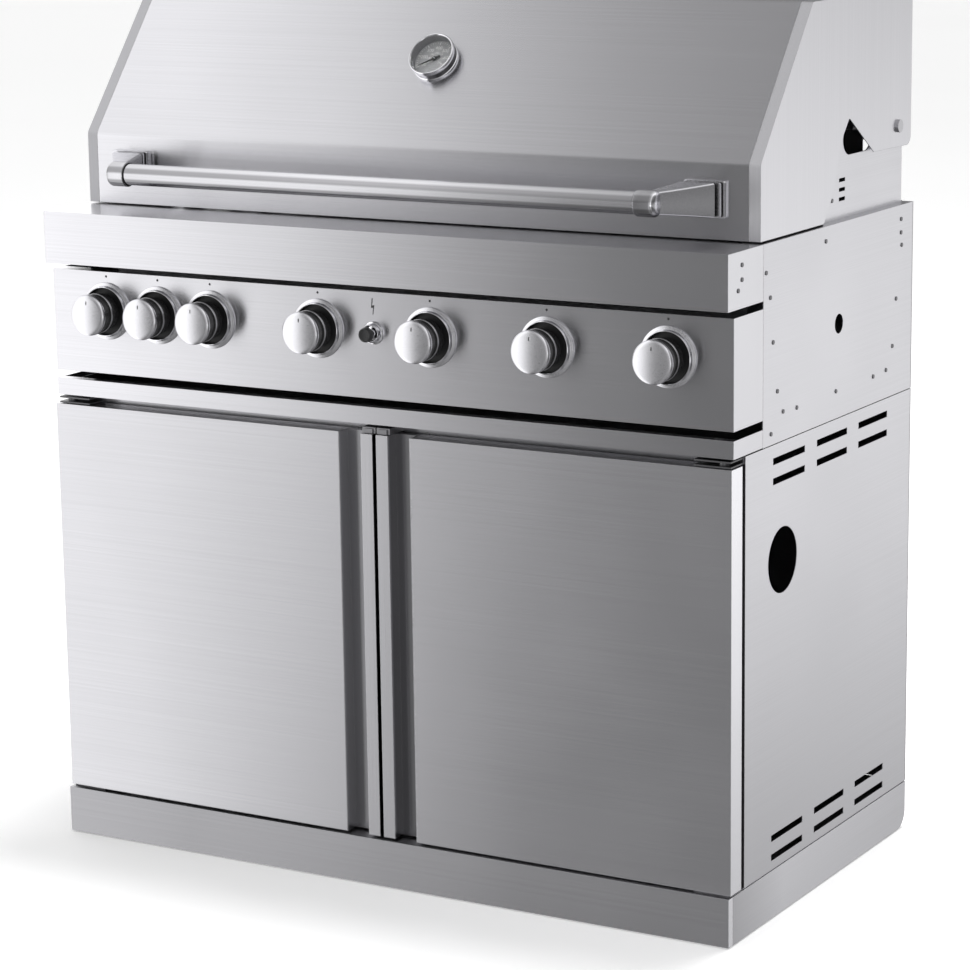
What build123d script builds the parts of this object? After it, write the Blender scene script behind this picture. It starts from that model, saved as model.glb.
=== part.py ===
from build123d import *
import os
from math import cos, radians, sin

# Free-standing six-burner gas barbecue: a hooded grill head on a two-door cabinet.
# Millimetres, +Z up, front towards -Y. The origin is on the floor, under the middle of the overall box.
# Depths are counted backwards from the front face of the fascia, heights from the floor.

# ---- overall ----
WIDTH = 1080
DEPTH = 600
KNOB_REACH = 34
FRONT = -(DEPTH + KNOB_REACH) / 2 + KNOB_REACH
HALF = WIDTH / 2
SHEET = 1.5
SKIN = 1.2
GAP = 0.3

# ---- heights ----
SKIRT_LIFT = 2
PLINTH_TOP = 69
CABINET_BOTTOM = 70.8
DOOR_BOTTOM = 72
DOOR_TOP = 645
CABINET_TOP = 656
HEAD_BOTTOM = 657
TRAY_FRONT = (657.8, 682)
PANEL = (694, 841)
FASCIA = (851, 925)
WORKTOP = 925
LID_BOTTOM = 927.5
LID_BEND = 1028
LID_TOP = 1225

# ---- depths behind the fascia face ----
PLINTH_SET = 6
DOOR_SET = 12
DOOR_THICK = 32
PANEL_SET = 17.5
CABINET_SET = 53
HEAD_SET = 105
LID_BACK = 598

# ---- doors ----
DOOR_SPLIT = 3
STRIP_EDGE = 21.5
CHANNEL_EDGE = 57.5
CHANNEL_DEPTH = 22
PIVOT_X = 522
PIVOT_SET = 28
PIN_R = 4
RUNNING = 0.05

# ---- controls ----
PITCH = 178.8
CONTROL_Z = 785
MAIN_X = [-2.5 * PITCH, -1.5 * PITCH, -0.5 * PITCH, 0.5 * PITCH, 1.5 * PITCH, 2.5 * PITCH]
REAR_VALVE_X = -2 * PITCH
KNOB_X = sorted(MAIN_X + [REAR_VALVE_X])
STEM_R = 4
PLUG_R = 7
CAP_R = 29
CAP_RIM = 44.5
DOME = 7
DOME_R = (CAP_R ** 2 + DOME ** 2) / (2 * DOME)
KNOB_STEPS = (8, 24, 26.5), (24, 28, 28.5), (28, 37, 26.5), (37, CAP_RIM, CAP_R)
BUTTON_R = 10
BEZEL_FLANGE = (3, 41)
BEZEL_RING = (9, 36)
BEZEL_BORE_R = 33.5
HOUSING = (10, 15.75)

# ---- firebox and cooking parts ----
BOX_X = 507
BOX_D = (126, 496)
SHIELD_TOP = 1034
GRATE_BACK = 490
BOX_BOTTOM = 712
GRATE_Z = (892, 900)
TAMER_Z = 838
BURNER_R = 14
MANIFOLD = (70, 755)
INLET = (495, 694)

# ---- lid ----
BEND_R = 8
SHOULDER_R = 12
SLANT_TOP = 263
RIM_X = 519
LID_X = 535.5
UPRIGHT_X = 525.4
HINGE_D = 552
HINGE_Z = 1036
BOLT_R = 5
HANDLE_D = 20
HANDLE_Z = 981.5
HANDLE_R = 15
HANDLE_END = 407
GAUGE_UP = 141
NEEDLE_COLD = radians(120)

os.makedirs("parts", exist_ok=True)


def at(depth):
    """The y coordinate of a depth behind the fascia face."""
    return FRONT + depth


def block(x, depth, z, mode=Mode.ADD):
    """A box between two limits along x, two depths and two heights."""
    middle = (x[0] + x[1]) / 2, at((depth[0] + depth[1]) / 2), (z[0] + z[1]) / 2
    with Locations(middle):
        Box(abs(x[1] - x[0]), abs(depth[1] - depth[0]), abs(z[1] - z[0]), mode=mode)


def bar(start, end, radius, mode=Mode.ADD):
    """A round bar between two (x, depth, z) points."""
    low = Vector(start[0], at(start[1]), start[2])
    high = Vector(end[0], at(end[1]), end[2])
    with Locations(Plane(origin=low, z_dir=high - low)):
        Cylinder(radius, (high - low).length, align=(Align.CENTER, Align.CENTER, Align.MIN), mode=mode)


def side_points(*points):
    """Turn (depth, z) points into the coordinates of a sketch on a side plane."""
    return [(at(depth), z) for depth, z in points]


def corners(sketch, *points):
    """The sketch's vertices that lie nearest the given (depth, z) points."""
    return [sketch.vertices().sort_by_distance(Vector(at(depth), z, 0))[0] for depth, z in points]


def save(piece, name):
    """Label a finished piece and write it to its own file."""
    piece.part.label = name
    export_step(piece.part, f"parts/{name}.step")


# ======================= plinth and cabinet =======================

with BuildPart() as plinth_front:
    block((-HALF, HALF), (PLINTH_SET, PLINTH_SET + 13), (SKIRT_LIFT, PLINTH_TOP))
    block((-HALF + SHEET, HALF - SHEET), (PLINTH_SET + SHEET, 30), (SKIRT_LIFT + SHEET, PLINTH_TOP - SHEET),
          Mode.SUBTRACT)
    block((-HALF + 1.8, HALF - 1.8), (PLINTH_SET + 5, 66), (PLINTH_TOP - SHEET, PLINTH_TOP))
save(plinth_front, "plinth_front")

with BuildPart() as plinth_frame:
    for side in (-1, 1):
        with BuildSketch(Plane.YZ.offset(side * (HALF - SHEET / 2))) as skirt:
            Polygon(*side_points((19.3, SKIRT_LIFT), (DEPTH, SKIRT_LIFT), (DEPTH, PLINTH_TOP),
                                 (19.3, PLINTH_TOP)), align=None)
            fillet(corners(skirt, (DEPTH, SKIRT_LIFT)), 25)
        extrude(amount=SHEET / 2, both=True)
        block((side * 513.5, side * (HALF - SHEET)), (66.5, DEPTH), (PLINTH_TOP - SHEET, PLINTH_TOP))
    block((-HALF, HALF), (DEPTH - SHEET, DEPTH), (30, PLINTH_TOP))
save(plinth_frame, "plinth_frame")

with BuildPart() as levelling_feet:
    for x in (-490, 490):
        for depth in (90, 540):
            bar((x, depth, 0), (x, depth, 8), 25)
            bar((x, depth, 8), (x, depth, 14), 12)
            bar((x, depth, 14), (x, depth, PLINTH_TOP), 6)
            with BuildSketch(Plane.XY.offset(56)):
                with Locations((x, at(depth))):
                    RegularPolygon(11, 6)
            extrude(amount=10)
save(levelling_feet, "levelling_feet")

with BuildPart() as cabinet_floor:
    block((-538.2, 538.2), (CABINET_SET, LID_BACK), (PLINTH_TOP, PLINTH_TOP + SHEET))
save(cabinet_floor, "cabinet_floor")

VENT_LENGTH = 100
VENT_HEIGHT = 9
VENT_D = (187, 326, 465)
VENT_Z = (88, 115, 606.5, 633.5)
HOSE_HOLE = (168, 495.4)
HOSE_HOLE_R = 45


def cabinet_side(side, hose_hole):
    """A folded side panel with front, top and rear flanges and four rows of vents."""
    with BuildPart() as panel:
        block((side * 513.5, side * HALF), (CABINET_SET, LID_BACK), (CABINET_BOTTOM, CABINET_TOP))
        block((side * 500, side * (HALF - SHEET)), (CABINET_SET + SHEET, LID_BACK - SHEET),
              (CABINET_BOTTOM - 1, CABINET_TOP - SHEET), Mode.SUBTRACT)
        for depth in VENT_D:
            for z in VENT_Z:
                block((side * 530, side * 545), (depth - VENT_LENGTH / 2, depth + VENT_LENGTH / 2),
                      (z - VENT_HEIGHT / 2, z + VENT_HEIGHT / 2), Mode.SUBTRACT)
        if hose_hole:
            bar((side * 530, *HOSE_HOLE), (side * 545, *HOSE_HOLE), HOSE_HOLE_R, Mode.SUBTRACT)
    return panel


save(cabinet_side(-1, False), "cabinet_side_left")
save(cabinet_side(1, True), "cabinet_side_right")

with BuildPart() as cabinet_back:
    block((-HALF, HALF), (DEPTH - SHEET, DEPTH), (CABINET_BOTTOM, CABINET_TOP))
save(cabinet_back, "cabinet_back")

with BuildPart() as cabinet_top_rail:
    block((-513, 513), (CABINET_SET, CABINET_SET + SHEET), (628, 654.4))
    block((-513, 513), (CABINET_SET, CABINET_SET + 32), (652.9, 654.4))
    block((-513, 513), (CABINET_SET, CABINET_SET + 12), (628, 629.5))
save(cabinet_top_rail, "cabinet_top_rail")

with BuildPart() as hinge_brackets:
    for side in (-1, 1):
        ends = (side * 484, side * 537)
        block(ends, (16, CABINET_SET), (646, 655))
        block((side * 480, side * 541), (15, CABINET_SET - 2), (648, 653), Mode.SUBTRACT)
        bar((side * PIVOT_X, PIVOT_SET, 654), (side * PIVOT_X, PIVOT_SET, DOOR_TOP - 19), PIN_R)
        bar((side * PIVOT_X, PIVOT_SET, 654), (side * PIVOT_X, PIVOT_SET, 647), 7)
        block(ends, (16, CABINET_SET - 1), (PLINTH_TOP, PLINTH_TOP + SHEET))
        bar((side * PIVOT_X, PIVOT_SET, PLINTH_TOP), (side * PIVOT_X, PIVOT_SET, DOOR_BOTTOM + 19), PIN_R)
save(hinge_brackets, "hinge_brackets")

with BuildPart() as door_catches:
    for side in (-1, 1):
        block((side * 1, side * 22), (18, CABINET_SET), (DOOR_TOP + 0.6, 654))
        block((side * 5, side * 18), (16, 18), (DOOR_TOP + 0.6, 652))
save(door_catches, "door_catches")

# ======================= doors =======================

DOOR_BACK = DOOR_SET + DOOR_THICK
BOSS_R = 9
BOSS_LENGTH = 20


def door_panel(side):
    """The outer pan of a door, open at the back, with a bored boss at the top and bottom for its pivots."""
    with BuildPart() as pan:
        block((side * (CHANNEL_EDGE + 0.2), side * HALF), (DOOR_SET, DOOR_BACK), (DOOR_BOTTOM, DOOR_TOP))
        block((side * (CHANNEL_EDGE + 0.2 + SKIN), side * (HALF - SKIN)), (DOOR_SET + SKIN, DOOR_BACK + 1),
              (DOOR_BOTTOM + SKIN, DOOR_TOP - SKIN), Mode.SUBTRACT)
        ends = (DOOR_BOTTOM, DOOR_BOTTOM + BOSS_LENGTH), (DOOR_TOP - BOSS_LENGTH, DOOR_TOP)
        for low, high in ends:
            bar((side * PIVOT_X, PIVOT_SET, low), (side * PIVOT_X, PIVOT_SET, high), BOSS_R)
            bar((side * PIVOT_X, PIVOT_SET, low), (side * PIVOT_X, PIVOT_SET, high), PIN_R + RUNNING,
                Mode.SUBTRACT)
    return pan


def door_pull(side):
    """The folded finger-pull: a closed edge strip, a recessed channel and the channel's far wall."""
    back_wall = DOOR_SET + CHANNEL_DEPTH
    with BuildPart() as pull:
        with BuildSketch(Plane.XY.offset(DOOR_BOTTOM)) as fold:
            Polygon((side * DOOR_SPLIT, at(DOOR_SET)), (side * STRIP_EDGE, at(DOOR_SET)),
                    (side * STRIP_EDGE, at(back_wall)), (side * CHANNEL_EDGE, at(back_wall)),
                    (side * CHANNEL_EDGE, at(DOOR_BACK)), (side * DOOR_SPLIT, at(DOOR_BACK)), align=None)
            offset(amount=-SKIN, kind=Kind.INTERSECTION, mode=Mode.SUBTRACT)
        extrude(amount=DOOR_TOP - DOOR_BOTTOM)
        for low in (DOOR_BOTTOM, DOOR_TOP - SKIN):
            with BuildSketch(Plane.XY.offset(low)) as cap:
                Polygon((side * DOOR_SPLIT, at(DOOR_SET)), (side * STRIP_EDGE, at(DOOR_SET)),
                        (side * STRIP_EDGE, at(back_wall)), (side * CHANNEL_EDGE, at(back_wall)),
                        (side * CHANNEL_EDGE, at(DOOR_BACK)), (side * DOOR_SPLIT, at(DOOR_BACK)), align=None)
            extrude(amount=SKIN)
        block((side * (CHANNEL_EDGE - SKIN), side * CHANNEL_EDGE), (DOOR_SET, back_wall + SKIN),
              (DOOR_BOTTOM, DOOR_TOP))
    return pull


def door_liner(side):
    """The flat inner sheet that closes the back of a door's pan."""
    with BuildPart() as liner:
        block((side * (CHANNEL_EDGE + 1.6), side * (HALF - 1.4)), (DOOR_BACK - 1.4, DOOR_BACK),
              (DOOR_BOTTOM + 1.4, DOOR_TOP - 1.4))
    return liner


for side, word in ((-1, "left"), (1, "right")):
    save(door_panel(side), f"door_{word}_panel")
    save(door_pull(side), f"door_{word}_pull")
    save(door_liner(side), f"door_{word}_liner")

# ======================= grill head =======================

CABLE_HOLE = (345, 787)
CABLE_HOLE_R = 13.5
INLET_HOLE_R = 18


def head_side(side, cable_hole):
    """A folded side of the grill head: an outer wall with a top flange and a flange that carries the tray."""
    with BuildPart() as panel:
        block((side * (HALF - SHEET), side * HALF), (HEAD_SET, LID_BACK), (HEAD_BOTTOM, WORKTOP))
        block((side * 508, side * HALF), (HEAD_SET, LID_BACK), (WORKTOP - SHEET, WORKTOP))
        block((side * 510, side * HALF), (HEAD_SET, LID_BACK), (HEAD_BOTTOM, HEAD_BOTTOM + SHEET))
        if cable_hole:
            bar((side * 530, *CABLE_HOLE), (side * 545, *CABLE_HOLE), CABLE_HOLE_R, Mode.SUBTRACT)
    return panel


save(head_side(-1, False), "head_side_left")
save(head_side(1, True), "head_side_right")

with BuildPart() as head_back:
    block((-HALF, HALF), (DEPTH - SHEET, DEPTH), (HEAD_BOTTOM, WORKTOP))
    bar((INLET[0], DEPTH - 5, INLET[1]), (INLET[0], DEPTH + 5, INLET[1]), INLET_HOLE_R, Mode.SUBTRACT)
save(head_back, "head_back")

with BuildPart() as fascia:
    block((-HALF, HALF), (0, HEAD_SET - GAP), FASCIA)
    block((-HALF + SHEET, HALF - SHEET), (SHEET, HEAD_SET + 1), (FASCIA[0] - 1, FASCIA[1] - SHEET),
          Mode.SUBTRACT)
    block((-HALF, HALF), (0, 20), (FASCIA[0], FASCIA[0] + SHEET))
    block((-BOX_X, BOX_X), (HEAD_SET - 5, BOX_D[0] - GAP), (WORKTOP - SHEET, WORKTOP))
save(fascia, "fascia")

with BuildPart() as control_panel:
    block((-HALF, HALF), (PANEL_SET, HEAD_SET - GAP), PANEL)
    block((-HALF + SHEET, HALF - SHEET), (PANEL_SET + SHEET, HEAD_SET + 1), (PANEL[0] - 1, PANEL[1] + 1),
          Mode.SUBTRACT)
    for z in (PANEL[0], PANEL[1] - SHEET):
        block((-HALF, HALF), (PANEL_SET, 42), (z, z + SHEET))
    for x in KNOB_X:
        bar((x, 10, CONTROL_Z), (x, 30, CONTROL_Z), 9, Mode.SUBTRACT)
    bar((0, 10, CONTROL_Z), (0, 30, CONTROL_Z), 13, Mode.SUBTRACT)
save(control_panel, "control_panel")

with BuildPart() as drip_tray_front:
    block((-HALF, HALF), (PANEL_SET, HEAD_SET - GAP), TRAY_FRONT)
    block((-HALF + SHEET, HALF - SHEET), (PANEL_SET + SHEET, HEAD_SET + 1),
          (TRAY_FRONT[0] - 1, TRAY_FRONT[1] + 1), Mode.SUBTRACT)
    block((-HALF, HALF), (PANEL_SET, 32), (TRAY_FRONT[1] - SHEET, TRAY_FRONT[1]))
save(drip_tray_front, "drip_tray_front")

with BuildPart() as drip_tray:
    block((-532, 532), (19.3, 585), (659, 676))
    block((-532 + SKIN, 532 - SKIN), (19.3 + SKIN, 585 - SKIN), (659 + SKIN, 680), Mode.SUBTRACT)
save(drip_tray, "drip_tray")

with BuildPart() as firebox:
    block((-BOX_X, BOX_X), BOX_D, (BOX_BOTTOM, WORKTOP))
    block((-BOX_X + SHEET, BOX_X - SHEET), (BOX_D[0] + SHEET, BOX_D[1] - SHEET),
          (BOX_BOTTOM - 1, WORKTOP + 1), Mode.SUBTRACT)
    for top in (GRATE_Z[0], TAMER_Z):
        for ledge in ((BOX_D[0], BOX_D[0] + 15), (BOX_D[1] - 15, BOX_D[1])):
            block((-BOX_X, BOX_X), ledge, (top - SHEET, top))
    block((-BOX_X, BOX_X), (BOX_D[1] - SHEET, BOX_D[1]), (WORKTOP - SHEET, SHIELD_TOP))
    for x in MAIN_X:
        bar((x, 120, CONTROL_Z), (x, 135, CONTROL_Z), BURNER_R + 1, Mode.SUBTRACT)
save(firebox, "firebox")

# ======================= gas system =======================

with BuildPart() as gas_manifold:
    bar((-475, *MANIFOLD), (INLET[0] + 10, *MANIFOLD), 12.5)
    bar((INLET[0], MANIFOLD[0], MANIFOLD[1]), (INLET[0], MANIFOLD[0], INLET[1] - 7.5), 7.5)
    bar((INLET[0], MANIFOLD[0], INLET[1]), (INLET[0], 577, INLET[1]), 7.5)
    bar((INLET[0], 562, INLET[1]), (INLET[0], 577, INLET[1]), 11)
    bar((INLET[0], 577, INLET[1]), (INLET[0], 597, INLET[1]), 8)
save(gas_manifold, "gas_manifold")

with BuildPart() as valve_bodies:
    for x in KNOB_X:
        block((x - 13, x + 13), (44, 84), (MANIFOLD[1] + 12.6, 803))
        bar((x, 84, CONTROL_Z), (x, 108, CONTROL_Z), 5)
        bar((x, 43, CONTROL_Z), (x, 76, CONTROL_Z), PLUG_R + RUNNING, Mode.SUBTRACT)
save(valve_bodies, "valve_bodies")


def valve_plug(x):
    """The turning plug of one gas valve, bored for the knob's sliding stem."""
    with BuildPart() as plug:
        bar((x, 46, CONTROL_Z), (x, 75, CONTROL_Z), PLUG_R)
        bar((x, 40, CONTROL_Z), (x, 73, CONTROL_Z), STEM_R + RUNNING, Mode.SUBTRACT)
    return plug


def knob(x):
    """A turned knob: dark skirt with a bright ring, a domed cap and the stem in its valve plug."""
    rim = at(PANEL_SET - CAP_RIM)
    with BuildPart() as turned:
        for start, end, radius in KNOB_STEPS:
            bar((x, PANEL_SET - start, CONTROL_Z), (x, PANEL_SET - end, CONTROL_Z), radius)
        with BuildSketch(Plane.YZ.offset(x)):
            with BuildLine():
                RadiusArc((rim, CONTROL_Z + CAP_R), (rim - DOME, CONTROL_Z), -DOME_R)
                Polyline((rim - DOME, CONTROL_Z), (rim + 1, CONTROL_Z), (rim + 1, CONTROL_Z + CAP_R),
                         (rim, CONTROL_Z + CAP_R))
            make_face()
        revolve(axis=Axis((x, 0, CONTROL_Z), (0, 1, 0)))
        bar((x, 0, CONTROL_Z), (x, 66, CONTROL_Z), STEM_R)
    return turned


for number, x in enumerate(KNOB_X, start=1):
    save(valve_plug(x), f"valve_plug_{number}")
    save(knob(x), f"knob_{number}")

with BuildPart() as knob_bezels:
    for x in KNOB_X:
        for length, radius in (BEZEL_FLANGE, BEZEL_RING):
            bar((x, PANEL_SET, CONTROL_Z), (x, PANEL_SET - length, CONTROL_Z), radius)
        bar((x, PANEL_SET, CONTROL_Z), (x, PANEL_SET - BEZEL_RING[0], CONTROL_Z), BEZEL_BORE_R,
            Mode.SUBTRACT)
save(knob_bezels, "knob_bezels")

with BuildPart() as igniter_housing:
    bar((0, PANEL_SET, CONTROL_Z), (0, PANEL_SET - HOUSING[0], CONTROL_Z), HOUSING[1])
    bar((0, PANEL_SET, CONTROL_Z), (0, 55, CONTROL_Z), 12.5)
    bar((0, PANEL_SET - HOUSING[0], CONTROL_Z), (0, 30, CONTROL_Z), BUTTON_R + GAP, Mode.SUBTRACT)
save(igniter_housing, "igniter_housing")

with BuildPart() as igniter_button:
    bar((0, 20, CONTROL_Z), (0, -7, CONTROL_Z), BUTTON_R)
    fillet(igniter_button.faces().sort_by(Axis.Y)[0].edges(), 2)
save(igniter_button, "igniter_button")

with BuildPart() as burners:
    for x in MAIN_X:
        bar((x, 100, CONTROL_Z), (x, 470, CONTROL_Z), BURNER_R)
        bar((x, 100, CONTROL_Z), (x, 468, CONTROL_Z), BURNER_R - 1.2, Mode.SUBTRACT)
save(burners, "burners")

with BuildPart() as flame_tamers:
    for x in MAIN_X:
        with BuildSketch(Plane.XZ.offset(-at(GRATE_BACK))):
            Polygon((x - 48, TAMER_Z), (x, TAMER_Z + 26), (x + 48, TAMER_Z), (x + 48, TAMER_Z + 1.7),
                    (x, TAMER_Z + 27.7), (x - 48, TAMER_Z + 1.7), align=None)
        extrude(amount=GRATE_BACK - 131)
save(flame_tamers, "flame_tamers")

with BuildPart() as rear_burner:
    block((-250, 250), (464, 494.4), (906, 985))
    block((-240, 240), (460, 472), (914, 977), Mode.SUBTRACT)
save(rear_burner, "rear_burner")

GRATE_WIDTH = 332
GRATE_PITCH = 336
BAR_PITCH = 21

with BuildPart() as cooking_grates:
    for x in (-GRATE_PITCH, 0, GRATE_PITCH):
        block((x - GRATE_WIDTH / 2, x + GRATE_WIDTH / 2), (131, GRATE_BACK), GRATE_Z)
        for slot in range(-7, 8):
            for depth in ((140, 306), (314, 481)):
                block((x + slot * BAR_PITCH - 7, x + slot * BAR_PITCH + 7), depth,
                      (GRATE_Z[0] - 1, GRATE_Z[1] + 1), Mode.SUBTRACT)
save(cooking_grates, "cooking_grates")

RACK_Z = 1045

with BuildPart() as warming_rack:
    for x in (-519, 519):
        bar((x, 426, RACK_Z), (x, 578, RACK_Z), 3.5)
    for depth in range(430, 575, 18):
        bar((-519, depth, RACK_Z), (519, depth, RACK_Z), 3)
    for x in (-260, 0, 260):
        bar((x, 426, RACK_Z - 2.2), (x, 578, RACK_Z - 2.2), 2.5)
save(warming_rack, "warming_rack")

# ======================= fixed uprights behind the lid =======================


with BuildPart() as uprights:
    for side in (-1, 1):
        with BuildSketch(Plane.YZ.offset(side * (UPRIGHT_X - SHEET / 2))) as outline:
            Polygon(*side_points((322, WORKTOP), (590, WORKTOP), (590, 1062), (505, 1062), (482, 1040),
                                 (482, 1010), (386, 1010), (386, 1045), (345, 1045), (322, 1015)),
                    align=None)
            fillet(corners(outline, (482, 1010), (386, 1010)), 22)
            fillet(corners(outline, (590, 1062), (505, 1062), (482, 1040)), 9)
        extrude(amount=SHEET / 2, both=True)
        for z in (952, 965, 978):
            block((side * 515, side * 535), (374, 394), (z - 2.5, z + 2.5), Mode.SUBTRACT)
        bar((side * 515, HINGE_D, HINGE_Z), (side * 535, HINGE_D, HINGE_Z), BOLT_R + RUNNING, Mode.SUBTRACT)
        block((side * 508, side * (UPRIGHT_X - SHEET)), (500, 542), (1040, 1041.3))
save(uprights, "uprights")

with BuildPart() as hood_rear_panel:
    block((-523.5, 523.5), (588, 588 + SHEET), (WORKTOP, 978))
    block((-523.5, 523.5), (BOX_D[1] + GAP, LID_BACK), (WORKTOP, WORKTOP + SHEET))
save(hood_rear_panel, "hood_rear_panel")

# ======================= lid =======================

LID_LINE = (HEAD_SET, LID_BOTTOM), (HEAD_SET, LID_BEND), (SLANT_TOP, LID_TOP), (LID_BACK, LID_TOP)
SLANT = Vector(0, SLANT_TOP - HEAD_SET, LID_TOP - LID_BEND).normalized()
GAUGE_PLANE = Plane(origin=Vector(0, at(HEAD_SET), LID_BEND) + SLANT * GAUGE_UP, x_dir=(1, 0, 0),
                    z_dir=(0, -SLANT.Z, SLANT.Y))
NEEDLE_PLANE = Plane(origin=GAUGE_PLANE.origin + GAUGE_PLANE.z_dir * 6, z_dir=GAUGE_PLANE.z_dir,
                     x_dir=Vector(cos(NEEDLE_COLD), 0, 0) + SLANT * sin(NEEDLE_COLD))

with BuildPart() as lid_skin:
    with BuildSketch(Plane.YZ.offset(-RIM_X + GAP)) as fold:
        Polygon(*side_points(*LID_LINE, (LID_BACK, 1010)), align=None)
        fillet(corners(fold, *LID_LINE[2:]), BEND_R)
        fillet(corners(fold, LID_LINE[1]), SHOULDER_R)
        offset(amount=-SKIN, kind=Kind.INTERSECTION, mode=Mode.SUBTRACT)
        Polygon(*side_points((HEAD_SET + SKIN, 900), (LID_BACK - SKIN, 900), (LID_BACK - SKIN, 1020),
                             (HEAD_SET + SKIN, 960)), align=None, mode=Mode.SUBTRACT)
    extrude(amount=2 * (RIM_X - GAP))
    with Locations(GAUGE_PLANE):
        Cylinder(6.5, 20, mode=Mode.SUBTRACT)
save(lid_skin, "lid_skin")

with BuildPart() as lid_liner:
    with BuildSketch(Plane.YZ.offset(-516)) as fold:
        Polygon(*side_points((121, 936), (121, 1022), (271, 1210), (575, 1210), (575, 1110)), align=None)
        fillet(corners(fold, (271, 1210), (575, 1210)), BEND_R)
        offset(amount=-1, kind=Kind.INTERSECTION, mode=Mode.SUBTRACT)
        Polygon(*side_points((122, 900), (574, 900), (574, 1120), (122, 970)), align=None,
                mode=Mode.SUBTRACT)
    extrude(amount=1032)
    with Locations(GAUGE_PLANE):
        Cylinder(7, 60, mode=Mode.SUBTRACT)
save(lid_liner, "lid_liner")


def lid_end(side):
    """An end cap of the lid: a plate notched for the spit, with flanges that follow the skin."""
    low_x, high_x = sorted((side * RIM_X, side * (LID_X - SKIN)))
    with BuildPart() as cap:
        with BuildSketch(Plane.YZ.offset(low_x)) as rim:
            Polygon(*side_points(*LID_LINE, (LID_BACK, 1085)), align=None)
            fillet(corners(rim, *LID_LINE[2:]), BEND_R)
            fillet(corners(rim, LID_LINE[1]), SHOULDER_R)
            offset(amount=-SKIN, kind=Kind.INTERSECTION, mode=Mode.SUBTRACT)
            Polygon(*side_points((HEAD_SET + SKIN, 900), (LID_BACK - SKIN, 900), (LID_BACK - SKIN, 1090),
                                 (HEAD_SET + SKIN, 980)), align=None, mode=Mode.SUBTRACT)
        extrude(amount=high_x - low_x)
        with BuildSketch(Plane.YZ.offset(side * (LID_X - SKIN / 2))) as outline:
            Polygon(*side_points(*LID_LINE, (LID_BACK, 1006), (468, 1008), (384, 1062),
                                 (365, 1041), (352, 1007), (334, 967), (303, LID_BOTTOM)), align=None)
            fillet(corners(outline, *LID_LINE[2:]), BEND_R)
            fillet(corners(outline, LID_LINE[1]), SHOULDER_R)
            fillet(corners(outline, (LID_BACK, 1006)), 14)
            fillet(corners(outline, (384, 1062), (468, 1008)), 4)
            fillet(corners(outline, (303, LID_BOTTOM)), 8)
        extrude(amount=SKIN / 2, both=True)
        bar((side * 530, HINGE_D, HINGE_Z), (side * 540, HINGE_D, HINGE_Z), BOLT_R + RUNNING, Mode.SUBTRACT)
    return cap


save(lid_end(-1), "lid_end_left")
save(lid_end(1), "lid_end_right")

with BuildPart() as pivot_bolts:
    for side in (-1, 1):
        bar((side * 512, HINGE_D, HINGE_Z), (side * (LID_X + 1), HINGE_D, HINGE_Z), BOLT_R)
        bar((side * 526, HINGE_D, HINGE_Z), (side * 534, HINGE_D, HINGE_Z), 8)
        bar((side * LID_X, HINGE_D, HINGE_Z), (side * 539.5, HINGE_D, HINGE_Z), 9)
save(pivot_bolts, "pivot_bolts")

with BuildPart() as handle_tube:
    bar((-HANDLE_END, HANDLE_D, HANDLE_Z), (HANDLE_END, HANDLE_D, HANDLE_Z), HANDLE_R)
    bar((-HANDLE_END, HANDLE_D, HANDLE_Z), (HANDLE_END, HANDLE_D, HANDLE_Z), HANDLE_R - SHEET,
        Mode.SUBTRACT)
save(handle_tube, "handle_tube")

with BuildPart() as handle_brackets:
    for side in (-1, 1):
        bar((side * HANDLE_END, HANDLE_D, HANDLE_Z), (side * 432, HANDLE_D, HANDLE_Z), 17.5)
        with BuildSketch(Plane.XZ.offset(-at(24))):
            with Locations((side * 421, HANDLE_Z)):
                Rectangle(22, 31)
        with BuildSketch(Plane.XZ.offset(-at(94))):
            with Locations((side * 457, 980.5)):
                Rectangle(56, 47)
        loft()
        block((side * 434, side * 480), (94, 99), (962, 999))
        block((side * 428, side * 488), (98, HEAD_SET), (956, 1005))
save(handle_brackets, "handle_brackets")

STACK = (Align.CENTER, Align.CENTER, Align.MIN)

with BuildPart() as thermometer_case:
    with Locations(GAUGE_PLANE):
        Cylinder(32, 14, align=STACK)
        Cylinder(34, 3, align=STACK)
    with Locations(GAUGE_PLANE.offset(12)):
        Cylinder(34, 6.5, align=STACK)
    with Locations(GAUGE_PLANE.offset(4)):
        Cylinder(30.5, 20, align=STACK, mode=Mode.SUBTRACT)
        Cylinder(1, 5.5, align=STACK)
    with Locations(GAUGE_PLANE.offset(-20)):
        Cylinder(6, 21, align=STACK)
    with Locations(GAUGE_PLANE.offset(-75)):
        Cylinder(3, 60, align=STACK)
save(thermometer_case, "thermometer_case")

with BuildPart() as thermometer_needle:
    with BuildSketch(NEEDLE_PLANE):
        Circle(3.5)
        Polygon((-1.2, 0), (1.2, 0), (0.4, 24), (-0.4, 24), align=None)
        Polygon((-1.6, 0), (-1.6, -9), (1.6, -9), (1.6, 0), align=None)
        Circle(1 + RUNNING, mode=Mode.SUBTRACT)
    extrude(amount=1)
save(thermometer_needle, "thermometer_needle")

# ======================= screws on the sides of the head =======================

HEAD_SCREWS = ((113, 887), (126, 853), (135, 793), (149, 726), (167, 696), (210, 694), (130, 672),
               (337, 695), (464, 695), (509, 697), (531, 728), (542, 794), (557, 905), (557, 886), (560, 868))
TOP_SCREWS = ((300, 905), (41, 907), (41, 888), (30, 875))

with BuildPart() as side_screws:
    for side in (-1, 1):
        for depth, z in HEAD_SCREWS + TOP_SCREWS:
            bar((side * HALF, depth, z), (side * (HALF + 1), depth, z), 3)
        bar((side * UPRIGHT_X, 351, 953), (side * (UPRIGHT_X + 1), 351, 953), 3)
save(side_screws, "side_screws")
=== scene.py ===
import math

import bmesh
import bpy
from mathutils import Matrix, Vector


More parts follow.
